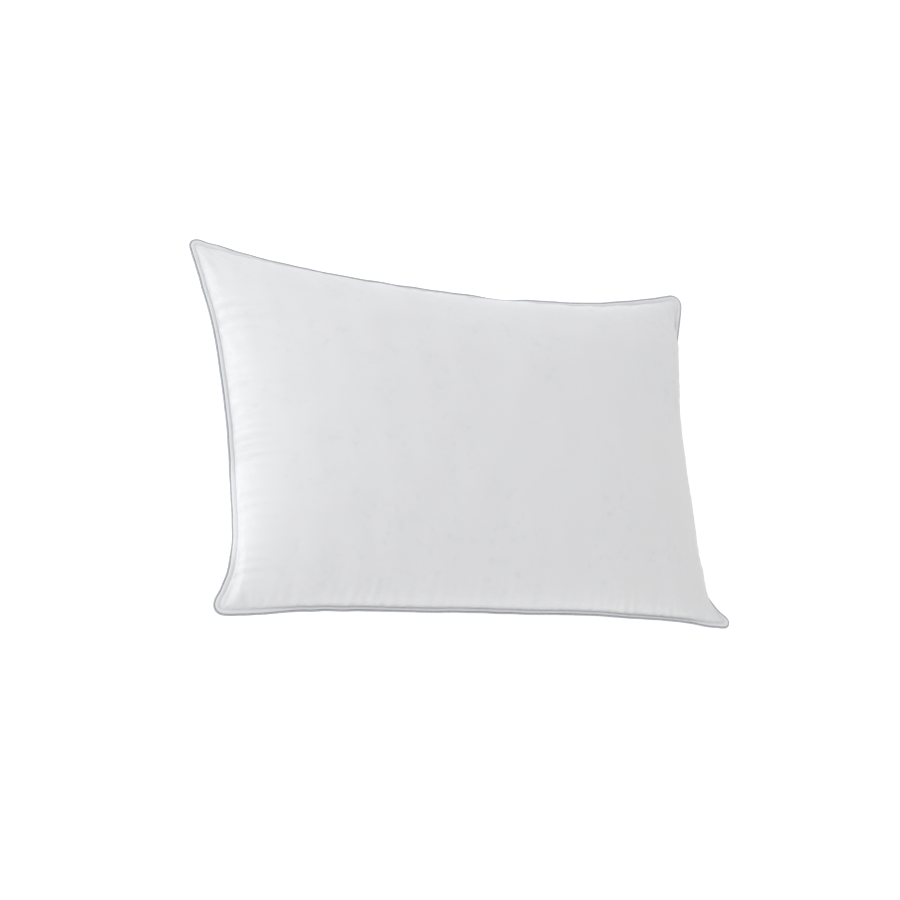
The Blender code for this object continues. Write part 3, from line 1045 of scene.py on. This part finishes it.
class PILLOW_OT_hang_label(bpy.types.Operator):
    """Hang a blank tape label from the seam of the rear edge"""

    bl_idname = "pillow.hang_label"
    bl_label = "Hang Label"

    def execute(self, context):
        finish = context.scene.pillow_finish
        low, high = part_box("care_label")
        centre, width, length = (low[0] + high[0]) / 2, high[0] - low[0], high[2] - low[2]
        ring = rolled(PIPING_RADIUS + 0.004, -0.0006)
        near = np.argmin(np.abs(ring[:, 0] - centre) + 10 * (ring[:, 1] < 0))
        start, out = ring[near], made["outward"][near]
        run, up = np.array((-out[1], out[0], 0)), np.array((0, 0, 1))
        # Out of the seam, over in a short bend and down, with a slight curl.
        rows, columns, bend = 40, 16, 0.10
        s, t = np.linspace(0, 1, rows + 1)[:, None], np.linspace(0, 1, columns + 1)[None]
        turn = np.minimum(s / bend, 1) * np.pi / 2
        ahead = 0.0006 - 0.006 * (1 - s / bend).clip(0)
        fall = -(s - 0.08).clip(0) * length
        curl = 0.0030 * np.sin(3 * s) + 0.0022 * s * np.sin(np.pi * t + 0.6)
        apart = (0.00035 + 0.0004 * np.sin(np.pi * np.minimum(s * 1.2, 1))) * np.sin(turn)
        points = []
        for side in (-1, 1):
            forth = ahead - curl * s + side * apart
            height = fall - side * 0.0002 * np.cos(turn)
            grid = start + forth[..., None] * out + ((t - 0.5) * width)[..., None] * run
            points.append((grid + height[..., None] * up).reshape(-1, 3))
        points = np.concatenate(points)
        first = np.arange((rows + 1) * (columns + 1)).reshape(rows + 1, columns + 1)
        second = first + first.size
        flat = np.stack(np.broadcast_arrays(t * width, s * length), axis=-1)
        foot = squares(np.stack([first[-1], second[-1]]))
        foot_uv = squares(np.stack([flat[-1], flat[-1]]))
        faces = np.concatenate([squares(first), squares(second), foot])
        uvs = np.concatenate([squares(flat), squares(flat), foot_uv])
        piece = new_object("care_label", points, faces, uvs, label_material(tuple(finish.label)))
        outwards(piece)
        cloth = piece.modifiers.new("Tape", "SOLIDIFY")
        cloth.thickness = 0.00022
        cloth.offset = 0.0
        declare(piece, "care_label")
        return {"FINISHED"}


# ---------------------------------------------------------------- stage


class PILLOW_OT_set_stage(bpy.types.Operator):
    """Set the floor, the soft light and the camera"""

    bl_idname = "pillow.set_stage"
    bl_label = "Set Stage"

    def execute(self, context):
        scene = context.scene
        points = [(x, y, 0.0) for x in (-8, 0, 8) for y in (-8, 0, 8)]
        floor = new_object("floor", points, squares(np.arange(9).reshape(3, 3)), None, floor_material())
        world = bpy.data.worlds.new("studio")
        world.use_nodes = True
        nodes, links = world.node_tree.nodes, world.node_tree.links
        nodes["Background"].inputs["Color"].default_value = (1.0, 1.0, 1.0, 1.0)
        # The backdrop looks as white as the floor, so that no horizon shows.
        seen = nodes.new("ShaderNodeMath")
        seen.operation = "MULTIPLY_ADD"
        seen.inputs[1].default_value, seen.inputs[2].default_value = 0.4, 0.74
        links.new(nodes.new("ShaderNodeLightPath").outputs["Is Camera Ray"], seen.inputs[0])
        links.new(seen.outputs[0], nodes["Background"].inputs["Strength"])
        scene.world = world
        centre = Vector((0, 0, SEAM_HEIGHT))
        for name, place, power, size, colour in (
            ("key", (-2.3, 0.0, 1.1), 14.5, 1.5, (0.95, 0.965, 1.0)),
            ("top", (-0.6, 2.2, 1.3), 8.0, 1.8, (0.96, 0.97, 1.0)),
            ("fill", (2.3, -1.4, 1.3), 4.0, 1.8, (1.0, 0.99, 0.975)),
        ):
            lamp = bpy.data.lights.new(name, "AREA")
            lamp.energy, lamp.size, lamp.color = power, size, colour
            light = bpy.data.objects.new(name, lamp)
            light.location = place
            light.rotation_euler = (centre - Vector(place)).to_track_quat("-Z", "Y").to_euler()
            scene.collection.objects.link(light)
        right = Vector((0.8945, -0.0998, 0.4358)).normalized()
        back = Vector((-0.4425, -0.3368, 0.8311))
        back = (back - right * back.dot(right)).normalized()
        up = back.cross(right)
        lens = bpy.data.cameras.new("camera")
        lens.sensor_width = 36.0
        lens.lens = 71.4
        distance = 2.342
        camera = bpy.data.objects.new("camera", lens)
        place = centre + back * distance - right * 0.0258 - up * 0.0144
        turned = Matrix((right, up, back)).transposed().to_4x4()
        camera.matrix_world = Matrix.Translation(place) @ turned
        scene.collection.objects.link(camera)
        scene.camera = camera
        scene.view_settings.view_transform = "Standard"
        return {"FINISHED"}


class PILLOW_PT_maker(bpy.types.Panel):
    """Lists the pillow's sizes, finishes and steps"""

    bl_label = "Bed Pillow"
    bl_idname = "PILLOW_PT_maker"
    bl_space_type = "VIEW_3D"
    bl_region_type = "UI"
    bl_category = "Pillow"

    def draw(self, context):
        for group in (context.scene.pillow_sizes, context.scene.pillow_finish):
            box = self.layout.box()
            for key in group.__annotations__:
                box.prop(group, key)
        for step in STEPS:
            self.layout.operator(step.bl_idname)


STEPS = (
    PILLOW_OT_inflate_panels,
    PILLOW_OT_sew_piping,
    PILLOW_OT_stitch_border,
    PILLOW_OT_fill_chamber,
    PILLOW_OT_hang_label,
    PILLOW_OT_set_stage,
)
CLASSES = (PillowSizes, PillowFinish, *STEPS, PILLOW_PT_maker)


def register():
    for item in CLASSES:
        bpy.utils.register_class(item)
    bpy.types.Scene.pillow_sizes = PointerProperty(type=PillowSizes)
    bpy.types.Scene.pillow_finish = PointerProperty(type=PillowFinish)


def unregister():
    del bpy.types.Scene.pillow_finish
    del bpy.types.Scene.pillow_sizes
    for item in reversed(CLASSES):
        bpy.utils.unregister_class(item)


def main():
    register()
    bpy.ops.pillow.inflate_panels()
    bpy.ops.pillow.sew_piping()
    bpy.ops.pillow.stitch_border()
    bpy.ops.pillow.fill_chamber()
    bpy.ops.pillow.hang_label()
    bpy.ops.pillow.set_stage()


if __name__ == "__main__":
    main()
